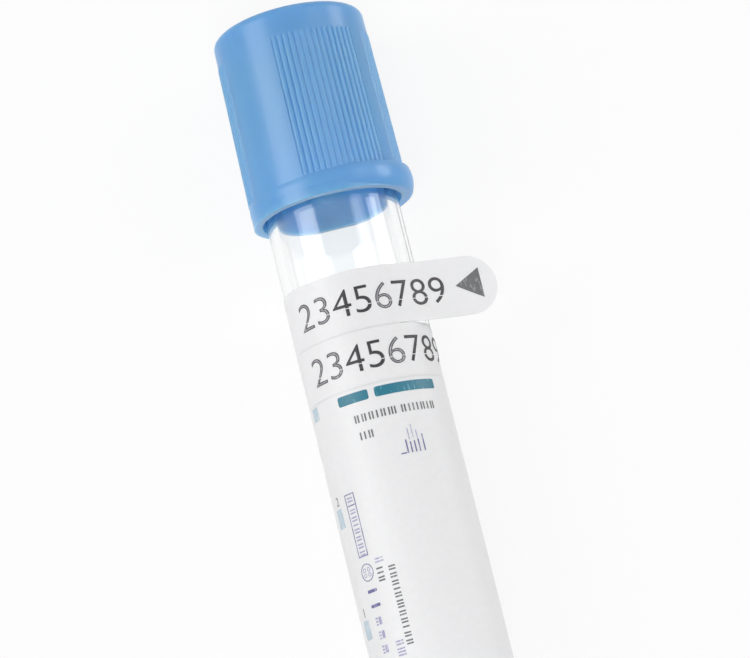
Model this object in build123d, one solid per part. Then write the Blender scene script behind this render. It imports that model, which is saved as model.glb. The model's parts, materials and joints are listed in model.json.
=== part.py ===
from build123d import *
import os
from math import asin, atan2, cos, degrees, hypot, radians, sin, sqrt

# Blood collection tube of the small evacuated kind, 13 mm across and 75 mm long,
# with a citrate dose in it. A rubber stopper closes the glass tube, and a ribbed
# plastic shell holds the stopper. A white label and two narrow number strips are
# stuck round the tube, and the upper strip is half peeled off.
#
# Every piece is drawn about the tube's own axis, with Z up that axis from the
# tip of the round end, X to one side, and Y towards the surface the tube lies on.
# Angles round the tube are counted from the line that ends up on top, positive
# towards X. The pieces are then laid down: the axis points along +Y, rising a
# little, because the lip of the cap is wider than the round end. A flat on the
# underside of the lip keeps the tube from rolling.

# Sizes in millimetres, angles in degrees.

# Glass tube
TUBE_DIAMETER = 13.0
TUBE_WALL = 1.0
TUBE_LENGTH = 75.0
MOUTH_ROUNDING = 0.35

# Cap shell: a drafted skirt, closed at the top but for the needle port
CAP_OVERLAP = 12.4          # the skirt's reach down over the tube
CAP_TOP_WALL = 0.71         # both walls are counted from the straight bore
CAP_FOOT_WALL = 0.98
CAP_TOP_ROUNDING = 0.8
CAP_PLATE = 1.4
SKIRT_CLEARANCE = 0.25      # round the tube, and wider at the skirt's mouth
SKIRT_MOUTH_CLEARANCE = 0.42
SKIRT_MOUTH_DEPTH = 4.0     # the bore widens over this depth

# Lip round the foot of the skirt, and its thicker part on one side for the thumb
LIP_PROUD = 0.03            # beyond the skirt's foot
THUMB_LIP_PROUD = 0.65
THUMB_LIP_OFFSET = 0.7      # its centre's distance from the axis
REST_FLAT_WIDTH = 4.0       # the flat that the lip rests on
LIP_BULGE_RADIUS = 3.0
LIP_BULGE_HEIGHT = 1.5
LIP_HEIGHT = 2.4
LIP_ROUNDING = 0.45

# Grip ribs: each half turn of the skirt has two rib groups and one plain window
RIB_PITCH = 4.33            # degrees from rib to rib
RIB_FULLNESS = 0.585        # a rib's radius as a share of the pitch
RIB_PROUD = 0.05            # crest beyond the plain wall
RIB_BURY = 0.12             # a rib's end inside the plain wall
RIB_GROOVE_DEPTH = 0.30
RIB_FOOT_HEIGHT = 2.35
RIB_HEAD_MARGIN = 2.95      # plain wall above the ribs
RIB_GROUPS = ((-11.4, 15), (66.7, 12))   # first rib's angle and number of ribs

# Needle port in the top of the shell, with a collar that presses on the stopper
PORT_LEDGE = 2.35           # the port is narrower than the bore by this all round
PORT_DEPTH = 4.2
COLLAR_WALL = 1.0
PORT_ROUNDING = 0.4
PORT_RELIEF = 0.25          # bevel where the port meets the stopper

# Rubber stopper
STOPPER_HEAD_HEIGHT = 2.6
STOPPER_PLUG_LENGTH = 7.0
STOPPER_FIT = 0.03          # radial running clearance in the tube
STOPPER_HEAD_CLEARANCE = 0.15
PLUG_CHAMFER = 0.5
PLUG_WALL = 2.27
PLUG_HOLLOW_DEPTH = 3.0
TARGET_MARGIN = 1.8         # from the port's edge to the dimple for the needle
TARGET_DEPTH = 0.8

# Label set, from the neck down: torn strip, number strip, main label
PAPER = 0.1
PAPER_GAP = 0.01            # adhesive between the glass and the paper
STRIP_GAP = 0.06            # die cut between neighbours
NECK_BARE = 7.53            # bare glass between the skirt and the label set
TEAR_STRIP_WIDTH = 5.8
NUMBER_STRIP_WIDTH = 5.2
FOOT_BARE = 7.0             # bare glass between the label set and the round end
LABEL_LEFT_ANGLE = -237.0
LABEL_RIGHT_ANGLE = 80.0
LABEL_CORNER = 1.0

# Peeled end of the torn strip: it leaves the tube on a tangent and curls up
PEEL_ANGLE = 36.0
PEEL_STRAIGHT = 2.0
PEEL_CURL_RADIUS = 26.0
PEEL_CURL_LENGTH = 9.2

# Citrate dose, lying along the low side
DOSE_DEPTH = 1.5
DOSE_CLEARANCE = 0.03

# Worked out from the sizes above
TUBE_RADIUS = TUBE_DIAMETER / 2
BORE_RADIUS = TUBE_RADIUS - TUBE_WALL
CAP_FOOT = TUBE_LENGTH - CAP_OVERLAP
HEAD_TOP = TUBE_LENGTH + STOPPER_HEAD_HEIGHT
CAP_TOP = HEAD_TOP + PORT_DEPTH
CAP_HEIGHT = CAP_TOP - CAP_FOOT
SKIRT_BORE_RADIUS = TUBE_RADIUS + SKIRT_CLEARANCE
SKIRT_MOUTH_RADIUS = TUBE_RADIUS + SKIRT_MOUTH_CLEARANCE
CAP_TOP_RADIUS = SKIRT_BORE_RADIUS + CAP_TOP_WALL
CAP_FOOT_RADIUS = SKIRT_BORE_RADIUS + CAP_FOOT_WALL
PORT_RADIUS = SKIRT_BORE_RADIUS - PORT_LEDGE
LIP_RADIUS = CAP_FOOT_RADIUS + LIP_PROUD
THUMB_LIP_RADIUS = CAP_FOOT_RADIUS + THUMB_LIP_PROUD - THUMB_LIP_OFFSET
REST_FLAT_DEPTH = sqrt(LIP_RADIUS**2 - (REST_FLAT_WIDTH / 2) ** 2)
RIB_RADIUS = RIB_FULLNESS * radians(RIB_PITCH) * CAP_FOOT_RADIUS
RIB_LENGTH = CAP_HEIGHT - RIB_FOOT_HEIGHT - RIB_HEAD_MARGIN
PAPER_INNER = TUBE_RADIUS + PAPER_GAP
PAPER_OUTER = PAPER_INNER + PAPER
TEAR_TOP = CAP_FOOT - NECK_BARE
TEAR_FOOT = TEAR_TOP - TEAR_STRIP_WIDTH
NUMBER_TOP = TEAR_FOOT - STRIP_GAP
NUMBER_FOOT = NUMBER_TOP - NUMBER_STRIP_WIDTH
MAIN_TOP = NUMBER_FOOT - STRIP_GAP
MAIN_FOOT = TUBE_RADIUS + FOOT_BARE


def around(angle):
    """Angle in the sketch plane of a direction given round the tube."""
    return angle - 90.0


def outward(angle):
    """Unit vector away from the axis at an angle round the tube."""
    turn = radians(around(angle))
    return Vector(cos(turn), sin(turn), 0)


def turned(*edges):
    """Solid of revolution about the tube's axis of a closed outline in the XZ plane."""
    return revolve(make_face(Wire(list(edges))), Axis.Z)


def outline(*points):
    """Edges of a closed polygon in the XZ plane, from (radius, height) pairs."""
    corners = [Vector(radius, 0, height) for radius, height in points]
    return [Line(a, b) for a, b in zip(corners, corners[1:] + corners[:1])]


def skirt_radius(height):
    """Outer radius of the plain drafted wall at a height above the skirt's foot."""
    share = height / CAP_HEIGHT
    return CAP_FOOT_RADIUS + (CAP_TOP_RADIUS - CAP_FOOT_RADIUS) * share


def round_ended(radius, top):
    """Round-ended rod about the axis, from the centre of the tube's round end up."""
    rod = Pos(0, 0, TUBE_RADIUS) * Cylinder(
        radius, top - TUBE_RADIUS, align=(Align.CENTER, Align.CENTER, Align.MIN)
    )
    return rod + Pos(0, 0, TUBE_RADIUS) * Sphere(radius)


def glass_tube():
    """Straight tube with a hemispherical end and a fire-polished mouth."""
    tube = round_ended(TUBE_RADIUS, TUBE_LENGTH) - round_ended(BORE_RADIUS, TUBE_LENGTH)
    mouth = tube.edges().group_by(Axis.Z)[-1]
    return fillet(mouth, min(MOUTH_ROUNDING, 0.45 * TUBE_WALL))


def lie_angle():
    """Slope of the axis when the round end and the flat of the lip touch the surface."""
    reach = CAP_FOOT + LIP_BULGE_HEIGHT - TUBE_RADIUS
    sink = TUBE_RADIUS / hypot(reach, REST_FLAT_DEPTH)
    return degrees(atan2(REST_FLAT_DEPTH, reach) - asin(sink))


def below(depth, height):
    """Everything under a level plane, once the tube lies down.

    The plane passes through the point at that depth under the axis and at that
    height up the tube.
    """
    plane = Plane(origin=(0, depth, height), x_dir=(1, 0, 0), z_dir=(0, 1, 0))
    level = Plane(plane.location * Location((0, 0, 0), (-lie_angle(), 0, 0)))
    span = 2 * CAP_TOP
    return level * Box(span, span, span, align=(Align.CENTER, Align.CENTER, Align.MIN))


def cap_body():
    """Drafted outer body of the shell, still solid inside."""
    body = turned(*outline(
        (0, CAP_FOOT), (CAP_FOOT_RADIUS, CAP_FOOT), (CAP_TOP_RADIUS, CAP_TOP), (0, CAP_TOP)
    ))
    return fillet(body.edges().group_by(Axis.Z)[-1], CAP_TOP_ROUNDING)


def lip_ring(radius):
    """Ring with a bulged rim at the foot of the skirt, solid inside."""
    centre = radius - LIP_BULGE_RADIUS

    def bulge(height):
        rise = height - LIP_BULGE_HEIGHT
        return Vector(
            centre + sqrt(LIP_BULGE_RADIUS**2 - rise**2), 0, CAP_FOOT + height
        )

    foot, crest, head = bulge(0), bulge(LIP_BULGE_HEIGHT), bulge(LIP_HEIGHT)
    axis_foot = Vector(0, 0, CAP_FOOT)
    axis_head = Vector(0, 0, CAP_FOOT + LIP_HEIGHT)
    lip = turned(
        Line(axis_foot, foot),
        ThreePointArc(foot, crest, head),
        Line(head, axis_head),
        Line(axis_head, axis_foot),
    )
    return fillet(lip.edges().group_by(Axis.Z)[0], LIP_ROUNDING)


def cap_lip():
    """Lip round the foot of the skirt, with the thumb's part off centre towards X."""
    return lip_ring(LIP_RADIUS) + Pos(THUMB_LIP_OFFSET, 0, 0) * lip_ring(THUMB_LIP_RADIUS)


def grip_rib(angle):
    """One round rib, sloping with the drafted wall."""
    inset = RIB_RADIUS - RIB_PROUD
    foot_height = RIB_FOOT_HEIGHT - RIB_BURY
    head_height = RIB_FOOT_HEIGHT + RIB_LENGTH + RIB_BURY
    foot = outward(angle) * (skirt_radius(foot_height) - inset)
    head = outward(angle) * (skirt_radius(head_height) - inset)
    foot += Vector(0, 0, CAP_FOOT + foot_height)
    head += Vector(0, 0, CAP_FOOT + head_height)
    run = head - foot
    return extrude(Plane(origin=foot, z_dir=run) * Circle(RIB_RADIUS), run.length)


def rib_panel(first, count):
    """Recess in the drafted wall that one group of ribs fills."""
    foot, head = RIB_FOOT_HEIGHT, RIB_FOOT_HEIGHT + RIB_LENGTH
    margin = 1.0
    profile = make_face(Wire(outline(
        (skirt_radius(foot) - RIB_GROOVE_DEPTH, CAP_FOOT + foot),
        (skirt_radius(foot) + margin, CAP_FOOT + foot),
        (skirt_radius(head) + margin, CAP_FOOT + head),
        (skirt_radius(head) - RIB_GROOVE_DEPTH, CAP_FOOT + head),
    )))
    sweep_angle = RIB_PITCH * count
    panel = revolve(profile, Axis.Z, revolution_arc=sweep_angle)
    return Rot(0, 0, around(first - RIB_PITCH / 2)) * panel


def cap_hollow():
    """Inside of the shell: the drafted skirt bore and the ring space over the stopper."""
    bore = turned(*outline(
        (0, CAP_FOOT), (SKIRT_MOUTH_RADIUS, CAP_FOOT),
        (SKIRT_BORE_RADIUS, CAP_FOOT + SKIRT_MOUTH_DEPTH),
        (SKIRT_BORE_RADIUS, HEAD_TOP), (0, HEAD_TOP),
    ))
    collar_radius = PORT_RADIUS + COLLAR_WALL
    ring_top = CAP_TOP - CAP_PLATE
    ring_radius = skirt_radius(CAP_HEIGHT - CAP_PLATE) - COLLAR_WALL
    ring = turned(*outline(
        (collar_radius, HEAD_TOP), (ring_radius, HEAD_TOP),
        (ring_radius, ring_top), (collar_radius, ring_top),
    ))
    return bore + ring


def cap_shell():
    """Moulded shell: body and lip, hollowed, with the port and the grip ribs."""
    shell = cap_body()
    for half_turn in (0, 180):
        for first, count in RIB_GROUPS:
            shell -= rib_panel(first + half_turn, count)
    ribs = [
        grip_rib(first + half_turn + RIB_PITCH * n)
        for half_turn in (0, 180)
        for first, count in RIB_GROUPS
        for n in range(count)
    ]
    shell = shell + ribs + cap_lip()
    shell -= cap_hollow()
    shell -= below(REST_FLAT_DEPTH, CAP_FOOT + LIP_BULGE_HEIGHT)
    relief_radius = PORT_RADIUS + PORT_RELIEF
    port = turned(*outline(
        (0, HEAD_TOP - 1), (relief_radius, HEAD_TOP - 1), (relief_radius, HEAD_TOP),
        (PORT_RADIUS, HEAD_TOP + PORT_RELIEF), (PORT_RADIUS, CAP_TOP + 1), (0, CAP_TOP + 1),
    ))
    shell -= port
    rim = shell.edges().filter_by(GeomType.CIRCLE).group_by(Axis.Z)[-1]
    inner_rim = rim.sort_by(SortBy.RADIUS)[0]
    return fillet(inner_rim, PORT_ROUNDING)


def rubber_stopper():
    """Butyl stopper: a head on the tube's mouth and a hollow plug inside it."""
    plug_radius = BORE_RADIUS - STOPPER_FIT
    plug_foot = TUBE_LENGTH - STOPPER_PLUG_LENGTH
    head_radius = SKIRT_BORE_RADIUS - STOPPER_HEAD_CLEARANCE
    neck_radius = plug_radius - MOUTH_ROUNDING
    hollow_radius = plug_radius - PLUG_WALL
    target_radius = PORT_RADIUS - TARGET_MARGIN
    return turned(*outline(
        (0, plug_foot + PLUG_HOLLOW_DEPTH),
        (0.6 * hollow_radius, plug_foot + PLUG_HOLLOW_DEPTH),
        (hollow_radius, plug_foot),
        (plug_radius - PLUG_CHAMFER, plug_foot),
        (plug_radius, plug_foot + PLUG_CHAMFER),
        (plug_radius, TUBE_LENGTH - 2 * MOUTH_ROUNDING),
        (neck_radius, TUBE_LENGTH),
        (head_radius, TUBE_LENGTH),
        (head_radius, HEAD_TOP),
        (target_radius, HEAD_TOP),
        (0.7 * target_radius, HEAD_TOP - TARGET_DEPTH),
        (0, HEAD_TOP - TARGET_DEPTH),
    ))


def paper_band(foot, top, first, last):
    """Band of paper round the tube between two heights and two angles."""
    profile = make_face(Wire(outline(
        (PAPER_INNER, foot), (PAPER_OUTER, foot), (PAPER_OUTER, top), (PAPER_INNER, top)
    )))
    band = revolve(profile, Axis.Z, revolution_arc=last - first)
    return Rot(0, 0, around(first)) * band


def corner_cutter(radius, across, along):
    """Square block less a quarter round, to round off a corner of thin paper.

    The corner is at the origin of the XY plane. across and along are +1 or -1 and
    say on which side of it the paper lies. The block is deep enough for the paper
    to curve away a little within its width.
    """
    depth = radius + 4 * PAPER
    block = Pos(0, 0, -depth / 2) * extrude(
        Pos(across * radius / 2, along * radius / 2) * Rectangle(radius, radius), depth
    )
    disc = Pos(across * radius, along * radius, 0) * Cylinder(radius, depth)
    return block - disc


def label(foot, top, corners):
    """Rectangular label round the tube, some of its corners rounded.

    corners lists (angle, height, across, along) for each corner to round.
    """
    paper = paper_band(foot, top, LABEL_LEFT_ANGLE, LABEL_RIGHT_ANGLE)
    for angle, height, across, along in corners:
        spot = outward(angle) * PAPER_OUTER + Vector(0, 0, height)
        sideways = Vector(0, 0, 1).cross(outward(angle))
        face = Plane(origin=spot, x_dir=sideways, z_dir=outward(angle))
        paper -= face * corner_cutter(LABEL_CORNER, across, along)
    return paper


def number_strip():
    """Second number strip, still flat, its upper corners rounded."""
    return label(NUMBER_FOOT, NUMBER_TOP, [
        (LABEL_RIGHT_ANGLE, NUMBER_TOP, -1, -1),
        (LABEL_LEFT_ANGLE, NUMBER_TOP, 1, -1),
    ])


def main_label():
    """Main label, its lower corners rounded."""
    return label(MAIN_FOOT, MAIN_TOP, [
        (LABEL_RIGHT_ANGLE, MAIN_FOOT, -1, 1),
        (LABEL_LEFT_ANGLE, MAIN_FOOT, 1, 1),
    ])


def peeled_path(radius):
    """Points and headings of the peeled end for one face of the paper.

    radius is that face's radius where the paper still lies on the tube. Returns
    the start, the end of the straight run, the curl's middle and the tip, in the
    sketch plane.
    """
    away = outward(PEEL_ANGLE)
    along = Vector(0, 0, 1).cross(away)
    start = away * radius
    bend = start + along * PEEL_STRAIGHT
    centre = away * (PAPER_INNER + PAPER / 2) + along * PEEL_STRAIGHT + away * PEEL_CURL_RADIUS
    spoke = bend - centre
    sweep_angle = degrees(PEEL_CURL_LENGTH / PEEL_CURL_RADIUS)
    middle = centre + spoke.rotate(Axis.Z, -sweep_angle / 2)
    tip = centre + spoke.rotate(Axis.Z, -sweep_angle)
    return start, bend, middle, tip


def peeled_tail():
    """Free end of the torn strip, with its round tab."""
    start_in, bend_in, middle_in, tip_in = peeled_path(PAPER_INNER)
    start_out, bend_out, middle_out, tip_out = peeled_path(PAPER_OUTER)
    ribbon = make_face(Wire([
        Line(start_in, bend_in),
        ThreePointArc(bend_in, middle_in, tip_in),
        Line(tip_in, tip_out),
        ThreePointArc(tip_out, middle_out, bend_out),
        Line(bend_out, start_out),
        Line(start_out, start_in),
    ]))
    tail = Pos(0, 0, TEAR_FOOT) * extrude(ribbon, TEAR_STRIP_WIDTH)
    half = TEAR_STRIP_WIDTH / 2
    normal = (tip_out - tip_in).normalized()
    sideways = Vector(0, 0, 1).cross(normal)
    for height, along in ((TEAR_FOOT, 1), (TEAR_TOP, -1)):
        face = Plane(
            origin=tip_in + Vector(0, 0, height), x_dir=sideways, z_dir=normal
        )
        tail -= face * corner_cutter(half, -1, along)
    return tail


def tear_strip():
    """First number strip: stuck from its left end to the peel line, then free."""
    stuck = paper_band(TEAR_FOOT, TEAR_TOP, LABEL_LEFT_ANGLE, PEEL_ANGLE)
    return stuck + peeled_tail()


def citrate_dose():
    """Clear liquid along the low side of the bore, level once the tube lies down."""
    bore = round_ended(BORE_RADIUS - DOSE_CLEARANCE, TUBE_LENGTH - STOPPER_PLUG_LENGTH - 1)
    return bore & below(BORE_RADIUS - DOSE_DEPTH, TUBE_RADIUS)


def laid_down(pieces):
    """Lay the pieces down, with the middle of their footprint at the origin."""
    tilt = Rot(lie_angle() - 90, 0, 0)
    down = {name: tilt * piece for name, piece in pieces.items()}
    boxes = [piece.bounding_box() for piece in down.values()]
    middle = [
        (min(getattr(box.min, side) for box in boxes)
         + max(getattr(box.max, side) for box in boxes)) / 2
        for side in "XY"
    ]
    # The centre of the round end lies one tube radius above the surface.
    rise = TUBE_RADIUS * (1 - sin(radians(lie_angle())))
    shift = Pos(-middle[0], -middle[1], rise)
    print("tilt", lie_angle(), "shift", tuple(shift.position))
    return {name: shift * piece for name, piece in down.items()}


pieces = {
    "glass_tube": glass_tube(),
    "cap_shell": cap_shell(),
    "rubber_stopper": rubber_stopper(),
    "tear_strip": tear_strip(),
    "number_strip": number_strip(),
    "main_label": main_label(),
    "citrate_dose": citrate_dose(),
}
os.makedirs("parts", exist_ok=True)
for name, piece in laid_down(pieces).items():
    export_step(piece, f"parts/{name}.step")
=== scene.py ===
"""Blood collection tube with a ribbed cap and a half-peeled number strip."""

import json
import logging
import math
from dataclasses import dataclass, field
from enum import Enum
from typing import Sequence

import bmesh
import bpy
from mathutils import Matrix, Vector


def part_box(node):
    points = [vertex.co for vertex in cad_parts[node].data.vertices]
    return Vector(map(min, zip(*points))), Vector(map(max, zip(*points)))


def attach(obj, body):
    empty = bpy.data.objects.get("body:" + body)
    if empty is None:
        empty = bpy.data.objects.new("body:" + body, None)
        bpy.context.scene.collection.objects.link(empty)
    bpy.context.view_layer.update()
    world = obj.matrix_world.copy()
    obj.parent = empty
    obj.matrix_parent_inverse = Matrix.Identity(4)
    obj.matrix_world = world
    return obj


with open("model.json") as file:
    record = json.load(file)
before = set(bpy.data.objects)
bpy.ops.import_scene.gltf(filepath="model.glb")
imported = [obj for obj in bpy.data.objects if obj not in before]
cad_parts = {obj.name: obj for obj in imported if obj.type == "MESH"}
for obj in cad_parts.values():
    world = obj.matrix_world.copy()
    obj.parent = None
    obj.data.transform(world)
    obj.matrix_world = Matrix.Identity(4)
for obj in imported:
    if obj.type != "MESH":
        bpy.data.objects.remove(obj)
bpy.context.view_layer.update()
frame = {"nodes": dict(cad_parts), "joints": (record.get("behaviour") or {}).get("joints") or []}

LOG = logging.getLogger("blood_tube")
MM = 0.001
Point2 = tuple[float, float]


# ---------------------------------------------------------------- colours, nodes


def linear(code: str, alpha: float = 1.0) -> tuple[float, float, float, float]:
    """Turns an sRGB hex colour into the linear colour that shaders take.

    Args:
        code: six hex digits, with or without a leading hash.
        alpha: opacity, passed through.

    Returns:
        Linear red, green, blue and alpha.
    """
    code = code.lstrip("#")
    parts = [int(code[i : i + 2], 16) / 255 for i in (0, 2, 4)]
    red, green, blue = (
        p / 12.92 if p <= 0.04045 else ((p + 0.055) / 1.055) ** 2.4 for p in parts
    )
    return red, green, blue, alpha


def add_node(
    tree: bpy.types.NodeTree,
    kind: str,
    settings: dict[str, object] | None = None,
    inputs: dict[str | int, object] | None = None,
) -> bpy.types.Node:
    """Adds a node, sets its properties, and sets or links its inputs.

    Args:
        tree: the node tree to add to.
        kind: the node's type name.
        settings: properties of the node itself.
        inputs: socket name or index to a value, or to an output socket to link.

    Returns:
        The new node.
    """
    node = tree.nodes.new(kind)
    for name, value in (settings or {}).items():
        setattr(node, name, value)
    for name, value in (inputs or {}).items():
        if isinstance(value, bpy.types.NodeSocket):
            tree.links.new(value, node.inputs[name])
        else:
            node.inputs[name].default_value = value
    return node


def new_material(name: str) -> tuple[bpy.types.Material, bpy.types.NodeTree]:
    """Makes an empty node material.

    Args:
        name: the material's name.

    Returns:
        The material and its cleared node tree.
    """
    material = bpy.data.materials.new(name)
    material.use_nodes = True
    tree = material.node_tree
    tree.nodes.clear()
    return material, tree


def finish_tree(tree: bpy.types.NodeTree, shader: bpy.types.NodeSocket) -> None:
    """Links a shader to the material's output."""
    add_node(tree, "ShaderNodeOutputMaterial", inputs={"Surface": shader})


def let_lamps_through(
    tree: bpy.types.NodeTree, shader: bpy.types.NodeSocket
) -> bpy.types.NodeSocket:
    """Makes a clear material cast no shadow, as thin clear glass nearly does.

    Args:
        tree: the node tree.
        shader: the clear material's own shader.

    Returns:
        The shader to send to the output.
    """
    path = add_node(tree, "ShaderNodeLightPath")
    clear = add_node(tree, "ShaderNodeBsdfTransparent")
    mixed = add_node(
        tree,
        "ShaderNodeMixShader",
        inputs={0: path.outputs["Is Shadow Ray"], 1: shader, 2: clear.outputs[0]},
    )
    return mixed.outputs[0]


def seen_directly(tree: bpy.types.NodeTree) -> bpy.types.NodeSocket:
    """One for rays that show a backdrop as it is: camera, glossy and transmission.

    Args:
        tree: the node tree.

    Returns:
        The value output, one or nought.
    """
    path = add_node(tree, "ShaderNodeLightPath")
    seen = path.outputs["Is Camera Ray"]
    for kind in ("Is Glossy Ray", "Is Transmission Ray"):
        either = add_node(
            tree,
            "ShaderNodeMath",
            {"operation": "MAXIMUM"},
            {0: seen, 1: path.outputs[kind]},
        )
        seen = either.outputs[0]
    return seen


def mm_coordinates(
    tree: bpy.types.NodeTree, scale: tuple[float, float, float] = (1.0, 1.0, 1.0)
) -> bpy.types.NodeSocket:
    """Object coordinates turned from metres into pattern units.

    Args:
        tree: the node tree.
        scale: pattern units per millimetre along each axis.

    Returns:
        The vector output to drive a texture with.
    """
    place = add_node(tree, "ShaderNodeTexCoord")
    mapping = add_node(
        tree,
        "ShaderNodeMapping",
        inputs={
            "Vector": place.outputs["Object"],
            "Scale": tuple(s / MM for s in scale),
        },
    )
    return mapping.outputs["Vector"]


# ---------------------------------------------------------------- finishes


@dataclass(frozen=True)
class MouldedPolyethylene:
    """Light blue polyethylene, injection moulded in a polished tool.

    It shows a soft satin gloss, light that comes back from inside the wall, and
    faint clouds where it flowed along the mould.
    """

    name: str = "moulded_polyethylene_blue"
    colour: str = "#5C9FDA"
    cloud: str = "#66A7DF"
    ior: float = 1.51
    roughness: float = 0.3
    glossier: float = 0.04  # the most that the grain takes off the roughness
    duller: float = 0.05  # and the most that it adds
    glow: float = 1.0  # share of the light that comes back from inside the wall
    depth_mm: float = 2.4  # how far light goes in before it is scattered
    cloud_mm: float = 6.0
    flow: float = 0.4  # clouds are drawn out along the cap, the way the melt ran
    grain_mm: float = 0.25  # real tool polish is finer, drawn as coarse as shows
    grain_height_mm: float = 0.01

    def build(self) -> bpy.types.Material:
        """Builds the finish.

        Returns:
            The material.
        """
        material, tree = new_material(self.name)
        clouds = add_node(
            tree,
            "ShaderNodeTexNoise",
            inputs={
                "Vector": mm_coordinates(tree, (1, self.flow, 1)),
                "Scale": 1 / self.cloud_mm,
                "Detail": 2.0,
            },
        )
        colour = add_node(
            tree,
            "ShaderNodeMix",
            {"data_type": "RGBA"},
            {
                "Factor": clouds.outputs["Fac"],
                "A": linear(self.colour),
                "B": linear(self.cloud),
            },
        )
        grain = add_node(
            tree,
            "ShaderNodeTexNoise",
            inputs={
                "Vector": mm_coordinates(tree),
                "Scale": 1 / self.grain_mm,
                "Detail": 3.0,
            },
        )
        rough = add_node(
            tree,
            "ShaderNodeMapRange",
            inputs={
                "Value": grain.outputs["Fac"],
                "To Min": self.roughness - self.glossier,
                "To Max": self.roughness + self.duller,
            },
        )
        bump = add_node(
            tree,
            "ShaderNodeBump",
            inputs={
                "Height": grain.outputs["Fac"],
                "Strength": 0.05,
                "Distance": self.grain_height_mm * MM,
            },
        )
        shader = add_node(
            tree,
            "ShaderNodeBsdfPrincipled",
            inputs={
                "Base Color": colour.outputs["Result"],
                "Roughness": rough.outputs["Result"],
                "Normal": bump.outputs["Normal"],
                "IOR": self.ior,
                "Subsurface Weight": self.glow,
                "Subsurface Radius": (1.0, 1.0, 1.0),
                "Subsurface Scale": self.depth_mm * MM,
            },
        )
        finish_tree(tree, shader.outputs["BSDF"])
        return material


@dataclass(frozen=True)
class CoatedLabelPaper:
    """White coated label paper, calendered, on a thin adhesive.

    It is nearly even white with a slight fibre cloud and a dull sheen.
    """

    name: str = "coated_label_paper"
    colour: str = "#F4F4F5"
    shade: str = "#ECECEE"
    ior: float = 1.5
    roughness: float = 0.48
    glow: float = 0.5  # share of the light that the fibres pass on
    depth_mm: float = 0.15  # a sheet is 0.1 mm thick, so some light comes through
    fibre_mm: float = 0.5  # real fibres are near 0.02 mm across, too fine to show
    fibre_height_mm: float = 0.01

    def build(self) -> bpy.types.Material:
        """Builds the finish.

        Returns:
            The material.
        """
        material, tree = new_material(self.name)
        fibres = add_node(
            tree,
            "ShaderNodeTexNoise",
            inputs={
                "Vector": mm_coordinates(tree),
                "Scale": 1 / self.fibre_mm,
                "Detail": 4.0,
                "Roughness": 0.6,
            },
        )
        colour = add_node(
            tree,
            "ShaderNodeMix",
            {"data_type": "RGBA"},
            {
                "Factor": fibres.outputs["Fac"],
                "A": linear(self.colour),
                "B": linear(self.shade),
            },
        )
        bump = add_node(
            tree,
            "ShaderNodeBump",
            inputs={
                "Height": fibres.outputs["Fac"],
                "Strength": 0.08,
                "Distance": self.fibre_height_mm * MM,
            },
        )
        shader = add_node(
            tree,
            "ShaderNodeBsdfPrincipled",
            inputs={
                "Base Color": colour.outputs["Result"],
                "Roughness": self.roughness,
                "Normal": bump.outputs["Normal"],
                "IOR": self.ior,
                "Subsurface Weight": self.glow,
                "Subsurface Radius": (1.0, 1.0, 1.0),
                "Subsurface Scale": self.depth_mm * MM,
            },
        )
        finish_tree(tree, shader.outputs["BSDF"])
        return material


@dataclass(frozen=True)
class PrintedInk:
    """Ink of a thermal transfer ribbon, with the streaks of a worn print head."""

    name: str
    colour: str
    worn: str
    wear: float = 0.5  # the more of it, the more of the print is worn
    fade: float = 0.15  # how softly the worn streaks start
    streak_mm: float = 0.35
    streak_shape: tuple[float, float, float] = (1.6, 0.5, 1.6)  # long along the tube
    ior: float = 1.5
    roughness: float = 0.42

    def build(self) -> bpy.types.Material:
        """Builds the finish.

        Returns:
            The material.
        """
        material, tree = new_material(self.name)
        streaks = add_node(
            tree,
            "ShaderNodeTexNoise",
            inputs={
                "Vector": mm_coordinates(tree, self.streak_shape),
                "Scale": 1 / self.streak_mm,
                "Detail": 2.0,
            },
        )
        edge = add_node(
            tree,
            "ShaderNodeMapRange",
            {"interpolation_type": "SMOOTHSTEP"},
            {
                "Value": streaks.outputs["Fac"],
                "From Min": 1 - self.wear,
                "From Max": 1 - self.wear + self.fade,
            },
        )
        colour = add_node(
            tree,
            "ShaderNodeMix",
            {"data_type": "RGBA"},
            {
                "Factor": edge.outputs["Result"],
                "A": linear(self.colour),
                "B": linear(self.worn),
            },
        )
        shader = add_node(
            tree,
            "ShaderNodeBsdfPrincipled",
            inputs={
                "Base Color": colour.outputs["Result"],
                "Roughness": self.roughness,
                "IOR": self.ior,
            },
        )
        finish_tree(tree, shader.outputs["BSDF"])
        return material


@dataclass(frozen=True)
class ClearFinish:
    """A clear material whose surface is very slightly uneven."""

    name: str
    colour: str
    ior: float
    wave_mm: float
    wave_detail: float
    stretch: float = 1.0  # less than 1 draws the waves out along the tube
    height_mm: float = 0.02

    def build(self) -> bpy.types.Material:
        """Builds the finish.

        Returns:
            The material.
        """
        material, tree = new_material(self.name)
        waves = add_node(
            tree,
            "ShaderNodeTexNoise",
            inputs={
                "Vector": mm_coordinates(tree, (1, self.stretch, 1)),
                "Scale": 1 / self.wave_mm,
                "Detail": self.wave_detail,
            },
        )
        bump = add_node(
            tree,
            "ShaderNodeBump",
            inputs={
                "Height": waves.outputs["Fac"],
                "Strength": 0.05,
                "Distance": self.height_mm * MM,
            },
        )
        shader = add_node(
            tree,
            "ShaderNodeBsdfPrincipled",
            inputs={
                "Base Color": linear(self.colour),
                "Roughness": 0.0,
                "IOR": self.ior,
                "Transmission Weight": 1.0,
                "Normal": bump.outputs["Normal"],
            },
        )
        finish_tree(tree, let_lamps_through(tree, shader.outputs["BSDF"]))
        return material


@dataclass(frozen=True)
class BorosilicateGlass(ClearFinish):
    """Clear drawn borosilicate glass, fire polished, with faint draw lines."""

    name: str = "borosilicate_glass"
    colour: str = "#FEFFFF"
    ior: float = 1.47
    wave_mm: float = 1.2
    wave_detail: float = 1.0
    stretch: float = 0.02


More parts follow.
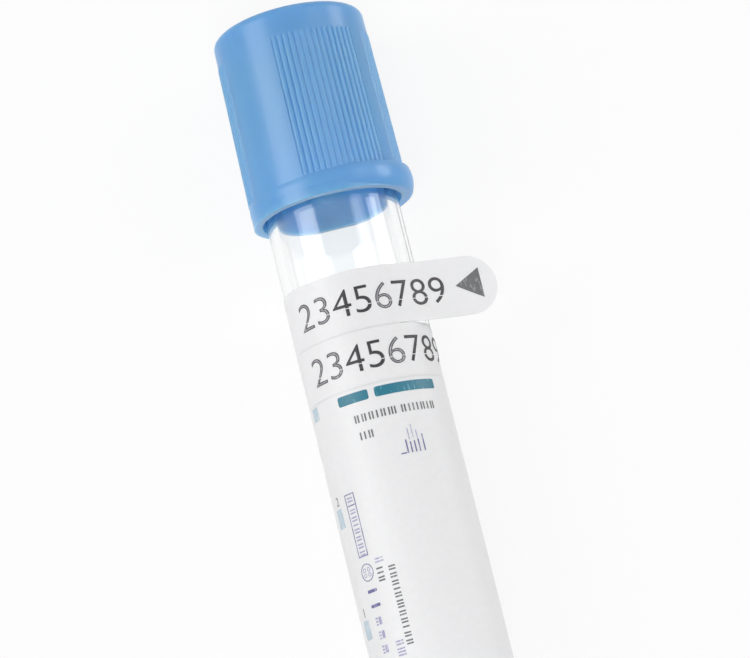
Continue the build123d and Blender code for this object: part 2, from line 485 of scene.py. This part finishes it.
@dataclass(frozen=True)
class CitrateSolution(ClearFinish):
    """Water-clear citrate solution with a still surface."""

    name: str = "citrate_solution"
    colour: str = "#FAFDFF"
    ior: float = 1.334
    wave_mm: float = 9.0
    wave_detail: float = 2.0


@dataclass(frozen=True)
class ButylRubber:
    """Grey butyl rubber, compression moulded: matt, with a fine dusty grain."""

    name: str = "butyl_rubber_grey"
    colour: str = "#62666C"
    dust: str = "#73777D"
    ior: float = 1.5
    roughness: float = 0.62
    grain_mm: float = 0.3
    grain_height_mm: float = 0.02

    def build(self) -> bpy.types.Material:
        """Builds the finish.

        Returns:
            The material.
        """
        material, tree = new_material(self.name)
        grain = add_node(
            tree,
            "ShaderNodeTexNoise",
            inputs={
                "Vector": mm_coordinates(tree),
                "Scale": 1 / self.grain_mm,
                "Detail": 4.0,
            },
        )
        colour = add_node(
            tree,
            "ShaderNodeMix",
            {"data_type": "RGBA"},
            {
                "Factor": grain.outputs["Fac"],
                "A": linear(self.colour),
                "B": linear(self.dust),
            },
        )
        bump = add_node(
            tree,
            "ShaderNodeBump",
            inputs={
                "Height": grain.outputs["Fac"],
                "Strength": 0.3,
                "Distance": self.grain_height_mm * MM,
            },
        )
        shader = add_node(
            tree,
            "ShaderNodeBsdfPrincipled",
            inputs={
                "Base Color": colour.outputs["Result"],
                "Roughness": self.roughness,
                "IOR": self.ior,
                "Normal": bump.outputs["Normal"],
            },
        )
        finish_tree(tree, shader.outputs["BSDF"])
        return material


# ---------------------------------------------------------------- places on the tube


@dataclass(frozen=True)
class TubeFrame:
    """Where the lying tube is: its tip, its axis, and the direction of its top line.

    Angles are in degrees from the line on top, positive towards +X. Heights are
    in millimetres up the axis from the tip of the round end.
    """

    tip: Vector
    axis: Vector
    top: Vector

    @classmethod
    def lying(cls, radius: float = 6.5) -> "TubeFrame":
        """Reads the tube's place from the solid glass tube and the cap's joint.

        Args:
            radius: the tube's outer radius in millimetres.

        Returns:
            The frame, its tip in metres.
        """
        axis = Vector(frame["joints"][0]["axis"]).normalized()
        low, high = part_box("glass_tube")
        reach = radius * MM
        centre = Vector(((low.x + high.x) / 2, low.y + reach, low.z + reach))
        top = Vector((1, 0, 0)).cross(axis).normalized()
        return cls(centre - axis * reach, axis, top)

    def direction(self, right: float, up: float, along: float) -> Vector:
        """Vector from its parts across, above and along the axis."""
        return Vector((right, 0, 0)) + self.top * up + self.axis * along

    def local(self, right: float, up: float, height: float) -> Vector:
        """Point by its place across, above and up the axis, in millimetres."""
        return self.tip + self.direction(right, up, height) * MM

    def outward(self, angle: float) -> Vector:
        """Unit vector away from the axis at an angle round the tube."""
        turn = math.radians(angle)
        return self.direction(math.sin(turn), math.cos(turn), 0)

    def at(self, radius: float, angle: float, height: float) -> Vector:
        """Point by its distance from the axis, angle and height.

        Args:
            radius: distance from the axis in millimetres.
            angle: degrees round the tube from the top line.
            height: millimetres up the tube from its tip.

        Returns:
            The point in the row frame, in metres.
        """
        return self.tip + (self.axis * height + self.outward(angle) * radius) * MM


TUBE = TubeFrame.lying()


@dataclass(frozen=True)
class LabelSheet:
    """A paper surface that print is laid on.

    A place on it is the run along the paper from the top line, and the height up
    the tube, both in millimetres. Past peel_angle the paper leaves the tube on a
    tangent and then curls away from it.
    """

    radius: float = 6.61
    peel_angle: float = 360.0
    straight: float = 2.0
    curl_radius: float = 26.0

    def run(self, angle: float) -> float:
        """Run along the paper, in millimetres, of an angle round the tube."""
        return math.radians(angle) * self.radius

    def place(self, run: float, height: float, lift: float) -> Vector:
        """Point over the paper.

        Args:
            run: millimetres along the paper from the top line.
            height: millimetres up the tube.
            lift: millimetres above the paper's face.

        Returns:
            The point in the row frame, in metres.
        """
        angle = math.degrees(run / self.radius)
        if angle <= self.peel_angle:
            return TUBE.at(self.radius + lift, angle, height)
        away = TUBE.outward(self.peel_angle)
        along = TUBE.outward(self.peel_angle + 90)
        base = TUBE.at(self.radius, self.peel_angle, height)
        past = run - self.run(self.peel_angle)
        if past <= self.straight:
            return base + (along * past + away * lift) * MM
        turn = (past - self.straight) / self.curl_radius
        radius = self.curl_radius - lift
        forward = self.straight + radius * math.sin(turn)
        rise = self.curl_radius - radius * math.cos(turn)
        return base + (along * forward + away * rise) * MM


# ---------------------------------------------------------------- print


class Ribbon(Enum):
    """The inks that the labels are printed with."""

    BLACK = PrintedInk("thermal_ink_black", "#2B292D", "#5A585E", wear=0.40)
    GREY = PrintedInk("thermal_ink_grey", "#626466", "#8E9092", wear=0.45)
    SPENT = PrintedInk("thermal_ink_spent", "#98969C", "#BDBBC0", wear=0.50)
    TEAL = PrintedInk("label_ink_teal", "#1F7389", "#5FA3B3", wear=0.42)
    VIOLET = PrintedInk("stamp_ink_violet", "#6C6899", "#A6A3C6", wear=0.50)
    PALE_VIOLET = PrintedInk("stamp_ink_pale_violet", "#AAA7C8", "#CFCDE0", wear=0.50)
    PALE_BLUE = PrintedInk("label_ink_pale_blue", "#BBCDD8", "#D0DCE4", wear=0.50)


Inks = dict[Ribbon, bpy.types.Material]


def add_piece(name: str, mesh: bmesh.types.BMesh, material: bpy.types.Material) -> None:
    """Makes a finished mesh a piece on the tube.

    Args:
        name: the piece's name.
        mesh: its mesh in the row frame, freed here.
        material: its finish.
    """
    bmesh.ops.recalc_face_normals(mesh, faces=mesh.faces[:])
    data = bpy.data.meshes.new(name)
    mesh.to_mesh(data)
    mesh.free()
    piece = bpy.data.objects.new(name, data)
    bpy.context.scene.collection.objects.link(piece)
    data.materials.append(material)
    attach(piece, "tube")
    LOG.info("%s: %d faces", name, len(data.polygons))


@dataclass
class PrintJob:
    """Thin flat shapes, wrapped onto a sheet of paper as one piece."""

    name: str
    sheet: LabelSheet
    ink: bpy.types.Material
    thickness: float = 0.008  # a real print's is near 0.002, too thin to show
    clearance: float = 0.004  # from the paper up to the print
    step: float = 0.2  # run between the cuts at which a flat shape can bend
    weld: float = 1e-5  # corners this near are the same corner
    merge: float = 0.002  # a cut this near a corner goes through it
    stretch: float = 1.08  # how much wider a numeral is than its face has it
    curve_steps: int = 10  # straight lines in each curve of a numeral
    corner_steps: int = 4  # and in a rounded corner
    ring_steps: int = 24  # and round a ring
    shapes: bmesh.types.BMesh = field(default_factory=bmesh.new)

    def polygon(self, points: Sequence[Point2]) -> None:
        """Adds a flat polygon, from (run, height) corners counted anticlockwise."""
        verts = [self.shapes.verts.new((x, y, 0)) for x, y in points]
        self.shapes.faces.new(verts)

    def bar(
        self, run: float, height: float, length: float, breadth: float, ends: float = 0.0
    ) -> None:
        """Adds a rectangle, its corners rounded by the radius ends.

        Args:
            run: run of its left side.
            height: height of its foot.
            length: extent along the run.
            breadth: extent up the tube.
            ends: corner radius, or 0 for sharp corners.
        """
        left, right = run + ends, run + length - ends
        foot, top = height + ends, height + breadth - ends
        if ends <= 0:
            self.polygon([(left, foot), (right, foot), (right, top), (left, top)])
            return
        points: list[Point2] = []
        corners = ((right, foot), (right, top), (left, top), (left, foot))
        for quarter, (x, y) in enumerate(corners):
            for i in range(self.corner_steps + 1):
                turn = math.radians(90 * (quarter - 1 + i / self.corner_steps))
                points.append((x + ends * math.cos(turn), y + ends * math.sin(turn)))
        self.polygon(points)

    def ring(self, centre: Point2, radius: float, width: float) -> None:
        """Adds a ring of four-sided pieces.

        Args:
            centre: run and height of its middle.
            radius: radius of the middle of its line.
            width: width of its line.
        """
        turns = [math.tau * i / self.ring_steps for i in range(self.ring_steps + 1)]
        inner, outer = radius - width / 2, radius + width / 2
        for a, b in zip(turns, turns[1:]):
            self.polygon(
                [
                    (centre[0] + r * math.cos(t), centre[1] + r * math.sin(t))
                    for r, t in ((inner, a), (outer, a), (outer, b), (inner, b))
                ]
            )

    def numerals(
        self,
        text: str,
        run: float,
        height: float,
        size: float,
        thin: float,
        pitch: float = 0.0,
    ) -> None:
        """Adds plain numerals, one per pitch; a space leaves its place bare.

        Args:
            text: the numerals.
            run: run of the middle of the first one.
            height: height of their foot.
            size: height of a numeral before it is thinned.
            thin: what is taken off each side of a stroke.
            pitch: run from one to the next.
        """
        for i, sign in enumerate(text):
            if sign == " ":
                continue
            curve = bpy.data.curves.new("numeral", "FONT")
            curve.body = sign
            curve.resolution_u = self.curve_steps
            thing = bpy.data.objects.new("numeral", curve)
            full = bpy.data.meshes.new_from_object(thing)
            xs = [v.co.x for v in full.vertices]
            ys = [v.co.y for v in full.vertices]
            grow = size / (max(ys) - min(ys))
            middle = (max(xs) + min(xs)) / 2
            bpy.data.meshes.remove(full)
            curve.offset = -thin / grow
            flat = bpy.data.meshes.new_from_object(thing)
            flat.transform(
                Matrix.Translation((run + pitch * i, height, 0))
                @ Matrix.Diagonal((grow * self.stretch, grow, 1, 1))
                @ Matrix.Translation((-middle, -min(ys), 0))
            )
            self.shapes.from_mesh(flat)
            bpy.data.meshes.remove(flat)
            bpy.data.objects.remove(thing)
            bpy.data.curves.remove(curve)

    def cut(self, place: Point2, across: Point2) -> None:
        """Cuts every shape along a line.

        Args:
            place: run and height of a point of the line.
            across: direction square to the line.
        """
        mesh = self.shapes
        bmesh.ops.bisect_plane(
            mesh,
            geom=mesh.verts[:] + mesh.edges[:] + mesh.faces[:],
            plane_co=(*place, 0),
            plane_no=(*across, 0),
        )

    def slit(self, height: float, width: float) -> None:
        """Leaves a bare line along the paper across every shape.

        Args:
            height: height of the line's middle.
            width: width of the line.
        """
        for level in (height - width / 2, height + width / 2):
            self.cut((0, level), (0, 1))
        gone = [
            f
            for f in self.shapes.faces
            if abs(f.calc_center_median().y - height) < width / 2
        ]
        bmesh.ops.delete(self.shapes, geom=gone, context="FACES")

    def build(self) -> None:
        """Cuts the shapes fine, wraps them onto the sheet and gives them a thickness."""
        mesh = self.shapes
        bmesh.ops.remove_doubles(mesh, verts=mesh.verts[:], dist=self.weld)
        low = min(v.co.x for v in mesh.verts)
        high = max(v.co.x for v in mesh.verts)
        for i in range(1, int((high - low) / self.step) + 1):
            self.cut((low + i * self.step, 0), (1, 0))
        bmesh.ops.remove_doubles(mesh, verts=mesh.verts[:], dist=self.merge)
        bmesh.ops.dissolve_degenerate(mesh, edges=mesh.edges[:], dist=self.merge)
        bmesh.ops.triangulate(mesh, faces=mesh.faces[:])
        bmesh.ops.recalc_face_normals(mesh, faces=mesh.faces[:])
        for f in mesh.faces:
            if f.normal.z < 0:
                f.normal_flip()
        body = bmesh.ops.extrude_face_region(mesh, geom=mesh.faces[:])
        raised = {g for g in body["geom"] if isinstance(g, bmesh.types.BMVert)}
        for v in mesh.verts:
            lift = self.clearance + (self.thickness if v in raised else 0.0)
            v.co = self.sheet.place(v.co.x, v.co.y, lift)
        add_piece(self.name, mesh, self.ink)


# ---------------------------------------------------------------- sub-assemblies


@dataclass
class DieCuts:
    """Thin white lines of adhesive film that show in the cuts between the labels."""

    inner: float = 6.504
    outer: float = 6.59
    margin: float = 0.004
    left_angle: float = -236.0
    step: float = 2.0  # degrees from one ring of corners to the next
    cuts: tuple[tuple[str, float, float, float], ...] = (
        # name, height of its foot and of its top, angle of its right end
        ("die_cut_upper", 49.21, 49.27, 35.0),
        ("die_cut_lower", 43.95, 44.01, 78.5),
    )

    def build(self, paper: bpy.types.Material) -> None:
        """Fills each cut, a little below the paper's face.

        Args:
            paper: the label paper's material.
        """
        for name, foot, top, right_angle in self.cuts:
            mesh = bmesh.new()
            corners = [
                (self.inner, foot + self.margin),
                (self.outer, foot + self.margin),
                (self.outer, top - self.margin),
                (self.inner, top - self.margin),
            ]
            sweep = right_angle - self.left_angle
            count = round(sweep / self.step)
            rings = []
            for i in range(count + 1):
                angle = self.left_angle + sweep * i / count
                rings.append([mesh.verts.new(TUBE.at(r, angle, z)) for r, z in corners])
            for one, two in zip(rings, rings[1:]):
                for i in range(4):
                    j = (i + 1) % 4
                    mesh.faces.new((one[i], one[j], two[j], two[i]))
            mesh.faces.new(rings[0])
            mesh.faces.new(reversed(rings[-1]))
            add_piece(name, mesh, paper)


@dataclass
class NumberStrips:
    """The two strips of plain numerals, the upper one half peeled off."""

    numerals: str = "23456789"
    spent: str = "23  6   "  # the ones that are worn along the middle of their strokes
    size: float = 2.64
    pitch: float = 2.045
    thin: float = 0.03
    core_thin: float = 0.115  # leaves only the middle of each stroke
    core_thickness: float = 0.004
    core_clearance: float = 0.014  # from the paper up, just over the numeral's top
    peel_angle: float = 36.0
    upper_foot: float = 50.75
    upper_first: float = -46.0
    lower_foot: float = 45.34
    lower_first: float = -46.3
    slit_share: float = 0.28
    slit_width: float = 0.08
    # a dark grey triangle drawn in grey ink on the tab, its tip towards the tube
    triangle_tip: float = 6.92  # run from where the strip leaves the tube
    triangle_height: float = 52.25
    triangle_length: float = 2.7
    triangle_half: float = 1.5

    def row(
        self, name: str, sheet: LabelSheet, first: float, foot: float, inks: Inks
    ) -> None:
        """Prints one row of numerals, some of them worn thin along their middle.

        Args:
            name: the row's name.
            sheet: the strip that it is on.
            first: angle of the first numeral.
            foot: height of the numerals' foot.
            inks: the inks' materials.
        """
        whole = PrintJob(f"numerals_{name}", sheet, inks[Ribbon.BLACK])
        worn = PrintJob(
            f"worn_cores_{name}",
            sheet,
            inks[Ribbon.SPENT],
            thickness=self.core_thickness,
            clearance=self.core_clearance,
        )
        for job, text, thin in (
            (whole, self.numerals, self.thin),
            (worn, self.spent, self.core_thin),
        ):
            job.numerals(text, sheet.run(first), foot, self.size, thin, self.pitch)
            job.slit(foot + self.slit_share * self.size, self.slit_width)
            job.build()

    def build(self, inks: Inks) -> None:
        """Prints both rows and a dark grey triangle on the tab.

        Args:
            inks: the inks' materials.
        """
        torn = LabelSheet(peel_angle=self.peel_angle)
        self.row("torn_strip", torn, self.upper_first, self.upper_foot, inks)
        self.row("number_strip", LabelSheet(), self.lower_first, self.lower_foot, inks)
        # dark grey triangle on the tab, drawn in grey ink, its tip pointing back along the strip
        triangle = PrintJob("tab_dark_triangle", torn, inks[Ribbon.GREY])
        tip = torn.run(self.peel_angle) + self.triangle_tip
        blunt = tip + self.triangle_length
        triangle.polygon(
            [
                (tip, self.triangle_height),
                (blunt, self.triangle_height - self.triangle_half),
                (blunt, self.triangle_height + self.triangle_half),
            ]
        )
        triangle.build()


@dataclass(frozen=True)
class Patch:
    """A rectangle on the main label: its sides as angles, its top and foot as depths."""

    left: float
    right: float
    top: float
    foot: float


@dataclass(frozen=True)
class Column:
    """Strokes one under another, in groups; an empty group leaves a space."""

    left: float
    right: float
    top: float
    groups: tuple[int, ...]


@dataclass
class LabelMarks:
    """What all marks on the main label share.

    Depths are in millimetres below the foot of the upper row of numerals, and
    angles in degrees round the tube.
    """

    level: float = NumberStrips.upper_foot
    stroke: float = 0.15
    space: float = 0.14
    rounding: float = 0.03
    sheet: LabelSheet = LabelSheet()

    def job(self, name: str, ribbon: Ribbon, inks: Inks) -> PrintJob:
        """Starts a print job on the main label."""
        return PrintJob(name, self.sheet, inks[ribbon])

    def block(self, job: PrintJob, patch: Patch, ends: float = 0.0) -> None:
        """Adds a filled patch.

        Args:
            job: the print job.
            patch: where it is.
            ends: corner radius, or 0 for sharp corners.
        """
        start, stop = self.sheet.run(patch.left), self.sheet.run(patch.right)
        height = self.level - patch.foot
        job.bar(start, height, stop - start, patch.foot - patch.top, ends)

    def row(
        self, job: PrintJob, left: float, top: float, tall: float, groups: Sequence[int]
    ) -> float:
        """Adds a row of upright strokes in groups, as dense as small print.

        Args:
            job: the print job.
            left: run of the row's left end.
            top: depth of the strokes' top.
            tall: height of a stroke.
            groups: number of strokes in each group.

        Returns:
            The run at the row's right end.
        """
        for count in groups:
            for _ in range(count):
                height = self.level - top - tall
                job.bar(left, height, self.stroke, tall, self.rounding)
                left += self.stroke + self.space
            left += self.space
        return left

    def column(self, job: PrintJob, column: Column) -> None:
        """Adds a column of strokes.

        Args:
            job: the print job.
            column: where its strokes are.
        """
        top = column.top
        for count in column.groups:
            for _ in range(count):
                patch = Patch(column.left, column.right, top, top + self.stroke)
                self.block(job, patch, self.rounding)
                top += self.stroke + self.space
            top += self.space


@dataclass
class Headings(LabelMarks):
    """Two coloured bars, with rows of dashes under them."""

    bars: tuple[Patch, ...] = (
        Patch(-34.0, -6.8, 7.15, 8.1),
        Patch(-1.5, 54.5, 7.15, 8.1),
    )
    bar_ends: float = 0.2
    tall: float = 0.74
    upper_left: float = -22.8
    upper_top: float = 9.3
    upper_words: tuple[tuple[int, ...], ...] = (
        (2, 2, 2, 1, 2, 3),
        (2, 1, 1, 1, 2, 1, 2),
    )
    word_space: float = 0.25
    lower_left: float = -21.5
    lower_top: float = 10.95
    lower_groups: tuple[int, ...] = (1, 1, 2)

    def build(self, inks: Inks) -> None:
        """Prints the bars and the dashes.

        Args:
            inks: the inks' materials.
        """
        teal = self.job("print_teal_bars", Ribbon.TEAL, inks)
        for bar in self.bars:
            self.block(teal, bar, self.bar_ends)
        teal.build()
        grey = self.job("print_grey_dashes", Ribbon.GREY, inks)
        run = self.sheet.run(self.upper_left)
        for groups in self.upper_words:
            run = self.row(grey, run, self.upper_top, self.tall, groups)
            run += self.word_space
        run = self.sheet.run(self.lower_left)
        self.row(grey, run, self.lower_top, self.tall, self.lower_groups)
        grey.build()


@dataclass
class VolumeMark(LabelMarks):
    """A small group of upright strokes, with paler ones over it."""

    left: float = 9.0
    foot: float = 13.95
    width: float = 0.13
    uprights: tuple[Point2, ...] = (
        # run from the left, and height
        (0.5, 1.3), (0.9, 1.05), (1.3, 1.1), (1.7, 1.2), (2.2, 1.6),
    )
    base_left: float = -0.12
    base_length: float = 0.55
    base_breadth: float = 0.12
    pale_width: float = 0.09
    pale_uprights: tuple[tuple[float, float, float], ...] = (
        # run from the left, depth of the foot, and height
        (0.9, 12.7, 1.1), (1.3, 12.6, 1.3), (1.7, 12.7, 0.8),
    )

    def build(self, inks: Inks) -> None:
        """Prints the strokes and the paler ones.

        Args:
            inks: the inks' materials.
        """
        dark = self.job("print_violet_strokes", Ribbon.VIOLET, inks)
        start, height = self.sheet.run(self.left), self.level - self.foot
        for run, tall in self.uprights:
            dark.bar(start + run, height, self.width, tall)
        dark.bar(start + self.base_left, height, self.base_length, self.base_breadth)
        dark.build()
        pale = self.job("print_pale_strokes", Ribbon.PALE_VIOLET, inks)
        for run, foot, tall in self.pale_uprights:
            pale.bar(start + run, self.level - foot, self.pale_width, tall)
        pale.build()


@dataclass
class SideMarks(LabelMarks):
    """The outlined and filled marks down the label's left."""

    outline: Patch = Patch(-52.2, -40.7, 16.0, 22.07)
    divider: float = 17.08
    line: float = 0.1
    gap: float = 0.01  # between an upright and the line that it runs up to
    filling: tuple[Column, ...] = (
        Column(-49.6, -43.2, 16.36, (2,)),
        Column(-49.6, -43.2, 17.5, (2, 2, 1, 2, 2, 2, 2)),
    )
    ring_angle: float = -46.7
    ring_depth: float = 23.58
    ring_radius: float = 0.8
    ring_line: float = 0.09
    dot_right: float = 0.3  # from the ring's middle to each small ring's
    dot_up: float = 0.25
    dot_radius: float = 0.17
    dot_line: float = 0.07
    bars: tuple[Patch, ...] = (
        Patch(-51.5, -40.5, 25.2, 25.5),
        Patch(-51.5, -40.5, 26.6, 26.9),
    )
    bar_ends: float = 0.1
    cluster_tops: tuple[float, ...] = (27.85, 29.15, 30.5)
    cluster_tall: float = 0.72
    cluster_groups: tuple[int, ...] = (3,)
    cluster_left: Point2 = (-50.2, -47.2)  # angles of the strokes' sides
    cluster_right: Point2 = (-46.4, -43.2)  # and of the block's
    outer: tuple[Column, ...] = (
        Column(-35.6, -27.5, 22.6, (2,)),
        Column(-34.6, -27.0, 30.5, (2, 3)),
    )

    def box(self, job: PrintJob) -> None:
        """Adds the outlined field with one line across it.

        Args:
            job: the print job.
        """
        start = self.sheet.run(self.outline.left)
        stop = self.sheet.run(self.outline.right)
        last = self.outline.foot - self.line
        for depth in (self.outline.top, self.divider, last):
            job.bar(start, self.level - depth - self.line, stop - start, self.line)
        for upper, lower in ((self.outline.top, self.divider), (self.divider, last)):
            tall = lower - upper - self.line - 2 * self.gap
            for run in (start, stop - self.line):
                job.bar(run, self.level - lower + self.gap, self.line, tall)

    def build(self, inks: Inks) -> None:
        """Prints the marks, and the paler ones in and beside them.

        Args:
            inks: the inks' materials.
        """
        violet = self.job("print_violet_marks", Ribbon.VIOLET, inks)
        self.box(violet)
        run, height = self.sheet.run(self.ring_angle), self.level - self.ring_depth
        violet.ring((run, height), self.ring_radius, self.ring_line)
        for bar in self.bars:
            self.block(violet, bar, self.bar_ends)
        violet.build()
        pale = self.job("print_pale_marks", Ribbon.PALE_VIOLET, inks)
        for column in (*self.filling, *self.outer):
            self.column(pale, column)
        for right in (-self.dot_right, self.dot_right):
            for up in (-self.dot_up, self.dot_up):
                pale.ring((run + right, height + up), self.dot_radius, self.dot_line)
        for top in self.cluster_tops:
            self.column(pale, Column(*self.cluster_left, top, self.cluster_groups))
            block = Patch(*self.cluster_right, top, top + self.cluster_tall)
            self.block(pale, block, self.bar_ends)
        pale.build()


@dataclass
class DashColumns(LabelMarks):
    """The two columns of dashes that run down the label."""

    columns: tuple[Column, ...] = (
        Column(-36.0, -29.8, 23.5, (1, 1, 2)),
        Column(-24.8, -18.8, 23.65, (2, 2, 2, 1, 2, 3, 2, 2, 1, 0, 2, 2)),
    )

    def build(self, inks: Inks) -> None:
        """Prints both columns.

        Args:
            inks: the inks' materials.
        """
        grey = self.job("print_grey_columns", Ribbon.GREY, inks)
        for column in self.columns:
            self.column(grey, column)
        grey.build()


@dataclass
class FillingScale(LabelMarks):
    """Three pale fields of the filling scale, with a numeral over the lower two."""

    fields: tuple[Patch, ...] = (
        Patch(-72.0, -60.8, 7.0, 8.3),
        Patch(-72.0, -60.8, 16.95, 18.8),
        Patch(-72.0, -60.8, 27.7, 29.5),
    )
    numerals: tuple[tuple[str, float], ...] = (("2", 16.65), ("1", 27.4))
    numeral_angle: float = -65.0
    numeral_size: float = 0.85
    thin: float = 0.01

    def build(self, inks: Inks) -> None:
        """Prints the fields and their numerals.

        Args:
            inks: the inks' materials.
        """
        pale = self.job("print_scale_fields", Ribbon.PALE_BLUE, inks)
        for patch in self.fields:
            self.block(pale, patch)
        pale.build()
        grey = self.job("print_scale_numerals", Ribbon.GREY, inks)
        run = self.sheet.run(self.numeral_angle)
        for sign, depth in self.numerals:
            height = self.level - depth
            grey.numerals(sign, run, height, self.numeral_size, self.thin)
        grey.build()


@dataclass
class Body:
    """The tube, its cap, its papers and its dose, in their finishes."""

    finishes: dict[str, bpy.types.Material]

    def build(self) -> None:
        """Gives each solid its material."""
        for node, material in self.finishes.items():
            slots = frame["nodes"][node].data.materials
            slots.clear()
            slots.append(material)
            LOG.info("%s: %s", node, material.name)


# ---------------------------------------------------------------- studio


@dataclass(frozen=True)
class SoftBox:
    """A soft box that hangs beside the tube and faces it.

    Its place is metres from the axis, degrees round the tube from the top line,
    and millimetres up the tube from its tip. Its size is its width round the tube
    and its length along it, in metres. Its level is the brightness of its face,
    where 1 is a white world.
    """

    name: str
    place: tuple[float, float, float]
    size: tuple[float, float]
    level: float

    def build(self, aim: Vector) -> None:
        """Hangs the soft box.

        Args:
            aim: the point that it faces, in metres.
        """
        width, length = self.size
        light = bpy.data.lights.new(self.name, "AREA")
        light.shape = "RECTANGLE"
        light.size, light.size_y = width, length
        light.energy = self.level * math.pi * width * length
        lamp = bpy.data.objects.new(self.name, light)
        bpy.context.scene.collection.objects.link(lamp)
        distance, angle, height = self.place
        lamp.location = TUBE.at(distance / MM, angle, height)
        back = (lamp.location - aim).normalized()
        side = TUBE.axis.cross(back).normalized()
        turned = Matrix((side, back.cross(side), back)).transposed()
        lamp.rotation_euler = turned.to_euler()


@dataclass
class Camera:
    """The camera over the tube, looking down on it from the round end's side."""

    lens: float = 144.0
    sensor: float = 36.0
    clip: tuple[float, float] = (0.01, 10.0)
    place: tuple[float, float, float] = (1.302, 280.105, -12.225)  # millimetres
    lean: float = 12.607  # degrees off square to the tube
    roll: float = 13.887

    def build(self) -> None:
        """Sets the camera up and makes it the scene's."""
        camera = bpy.data.cameras.new("camera")
        camera.lens = self.lens
        camera.sensor_width = self.sensor
        camera.sensor_fit = "HORIZONTAL"
        camera.clip_start, camera.clip_end = self.clip
        thing = bpy.data.objects.new("camera", camera)
        bpy.context.scene.collection.objects.link(thing)
        lean, roll = math.radians(self.lean), math.radians(self.roll)
        back = TUBE.direction(0, math.cos(lean), -math.sin(lean))
        right = TUBE.direction(
            math.cos(roll),
            -math.sin(roll) * math.sin(lean),
            -math.sin(roll) * math.cos(lean),
        )
        turned = Matrix((right, back.cross(right), back)).transposed()
        there = Matrix.Translation(TUBE.local(*self.place))
        thing.matrix_world = there @ turned.to_4x4()
        bpy.context.scene.camera = thing


@dataclass
class Studio:
    """Pale floor, white surroundings and soft lights."""

    floor_side: float = 4.0
    floor_drop: float = 1e-5  # keeps the floor clear of what rests on it
    floor_colour: str = "#F4F4F4"
    floor_white: float = 0.88  # how much of it is plain white; the rest takes shadow
    fill: float = 0.24  # brightness of the surroundings as a light
    aim_height: float = 60.0  # millimetres up the tube to where the lamps point
    boxes: tuple[SoftBox, ...] = (
        SoftBox("key_left", (0.45, -48, 140), (0.28, 0.24), 4.3),
        SoftBox("upper_right", (0.42, 46, 140), (0.14, 0.24), 2.0),
        SoftBox("side_right", (0.40, 88, 140), (0.24, 0.24), 4.7),
        SoftBox("low_front", (0.35, -8, -120), (0.20, 0.15), 6.0),
    )

    def floor(self) -> None:
        """Lays a white floor that still takes a soft shadow."""
        place = (0, 0, -self.floor_drop)
        bpy.ops.mesh.primitive_plane_add(size=self.floor_side, location=place)
        floor = bpy.context.object
        floor.name = "floor"
        material, tree = new_material("studio_floor_white")
        share = add_node(
            tree,
            "ShaderNodeMath",
            {"operation": "MULTIPLY"},
            {0: seen_directly(tree), 1: self.floor_white},
        )
        diffuse = add_node(
            tree, "ShaderNodeBsdfDiffuse", inputs={"Color": linear(self.floor_colour)}
        )
        white = add_node(
            tree, "ShaderNodeEmission", inputs={"Color": (1, 1, 1, 1), "Strength": 1.0}
        )
        mixed = add_node(
            tree,
            "ShaderNodeMixShader",
            inputs={0: share.outputs[0], 1: diffuse.outputs[0], 2: white.outputs[0]},
        )
        finish_tree(tree, mixed.outputs[0])
        floor.data.materials.append(material)

    def world(self) -> None:
        """White surroundings, plain to the camera and softer as a light."""
        world = bpy.data.worlds.new("studio")
        bpy.context.scene.world = world
        world.use_nodes = True
        tree = world.node_tree
        tree.nodes.clear()
        strength = add_node(
            tree,
            "ShaderNodeMapRange",
            inputs={"Value": seen_directly(tree), "To Min": self.fill, "To Max": 1.0},
        )
        back = add_node(
            tree,
            "ShaderNodeBackground",
            inputs={"Color": (1, 1, 1, 1), "Strength": strength.outputs["Result"]},
        )
        add_node(tree, "ShaderNodeOutputWorld", inputs={"Surface": back.outputs[0]})

    def build(self) -> None:
        """Builds the floor, the world and the lamps."""
        self.floor()
        self.world()
        for box in self.boxes:
            box.build(TUBE.local(0, 0, self.aim_height))
        bpy.context.scene.view_settings.view_transform = "Standard"


def main() -> None:
    """Builds the tube's finishes and print, then the studio."""
    logging.basicConfig(level=logging.INFO)
    paper = CoatedLabelPaper().build()
    Body(
        {
            "glass_tube": BorosilicateGlass().build(),
            "cap_shell": MouldedPolyethylene().build(),
            "rubber_stopper": ButylRubber().build(),
            "tear_strip": paper,
            "number_strip": paper,
            "main_label": paper,
            "citrate_dose": CitrateSolution().build(),
        }
    ).build()
    DieCuts().build(paper)
    inks = {ribbon: ribbon.value.build() for ribbon in Ribbon}
    NumberStrips().build(inks)
    for marks in (Headings, VolumeMark, SideMarks, DashColumns, FillingScale):
        marks().build(inks)
    Studio().build()
    Camera().build()


if __name__ == "__main__":
    main()
